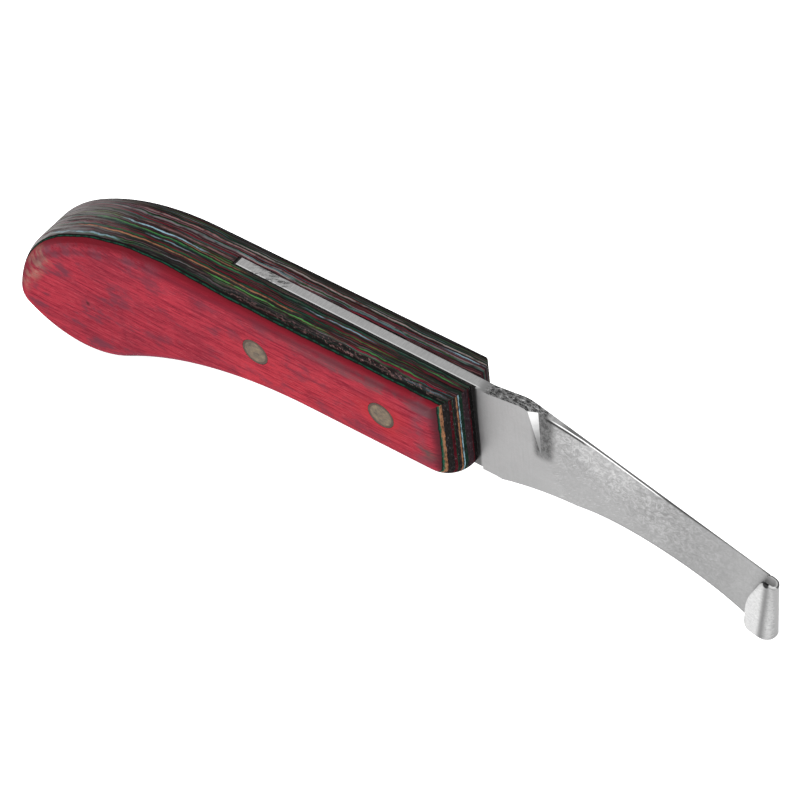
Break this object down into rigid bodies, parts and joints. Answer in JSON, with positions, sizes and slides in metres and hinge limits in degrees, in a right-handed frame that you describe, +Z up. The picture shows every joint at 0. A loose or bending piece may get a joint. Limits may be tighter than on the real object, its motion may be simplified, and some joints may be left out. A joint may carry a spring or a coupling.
{
  "type": "farrier's hoof knife",
  "caption": "Fixed-blade hook knife: a drop blade ends in a small rolled hook, its tang riveted in a slotted laminated wood handle.",
  "frame": {"origin": "bottom centre of the bounding box, on the plane that the handle's butt and the foot of the hook stand on", "axes": "+X along the knife from the butt towards the hook, +Y from the red face veneer through the handle to the far face, +Z up, out of the edge of the handle that shows the tang"},
  "size_m": [0.2096, 0.0194, 0.0448],
  "materials": {
    "bedding": "dull black filler",
    "blade_steel": "satin, ground and rubbed",
    "rivet_metal": "tarnished, rubbed flush",
    "veneer_black": "dyed",
    "veneer_crimson": "dyed",
    "veneer_forest": "dyed",
    "veneer_maroon": "dyed",
    "veneer_plum": "dyed",
    "veneer_red": "dyed birch, sanded and waxed",
    "veneer_sky": "dyed",
    "veneer_slate": "dyed",
    "veneer_tan": "dyed",
    "veneer_teal": "dyed, end and long grain sanded",
    "veneer_umber": "dyed"
  },
  "bodies": {
    "root": {"blade": "blade_steel", "core_veneer_1": "veneer_black", "core_veneer_2": "veneer_black", "core_veneer_3": "veneer_maroon", "core_veneer_4": "veneer_slate", "core_veneer_5": "veneer_black", "core_veneer_6": "veneer_black", "far_cheek_veneer_01": "veneer_umber", "far_cheek_veneer_02": "veneer_slate", "far_cheek_veneer_03": "veneer_maroon", "far_cheek_veneer_04": "veneer_forest", "far_cheek_veneer_05": "veneer_plum", "far_cheek_veneer_06": "veneer_maroon", "far_cheek_veneer_07": "veneer_slate", "far_cheek_veneer_08": "veneer_forest", "far_cheek_veneer_09": "veneer_sky", "far_cheek_veneer_10": "veneer_maroon", "far_cheek_veneer_11": "veneer_black", "far_face_veneer": "veneer_umber", "front_rivet_pin": "rivet_metal", "front_rivet_tube": "rivet_metal", "near_cheek_veneer_01": "veneer_teal", "near_cheek_veneer_02": "veneer_tan", "near_cheek_veneer_03": "veneer_slate", "near_cheek_veneer_04": "veneer_maroon", "near_cheek_veneer_05": "veneer_forest", "near_cheek_veneer_06": "veneer_tan", "near_cheek_veneer_07": "veneer_sky", "near_cheek_veneer_08": "veneer_forest", "near_cheek_veneer_09": "veneer_plum", "near_cheek_veneer_10": "veneer_crimson", "near_cheek_veneer_11": "veneer_black", "near_face_veneer": "veneer_red", "rear_rivet_pin": "rivet_metal", "rear_rivet_tube": "rivet_metal", "tang_bedding": "bedding"}
  },
  "joints": []
}
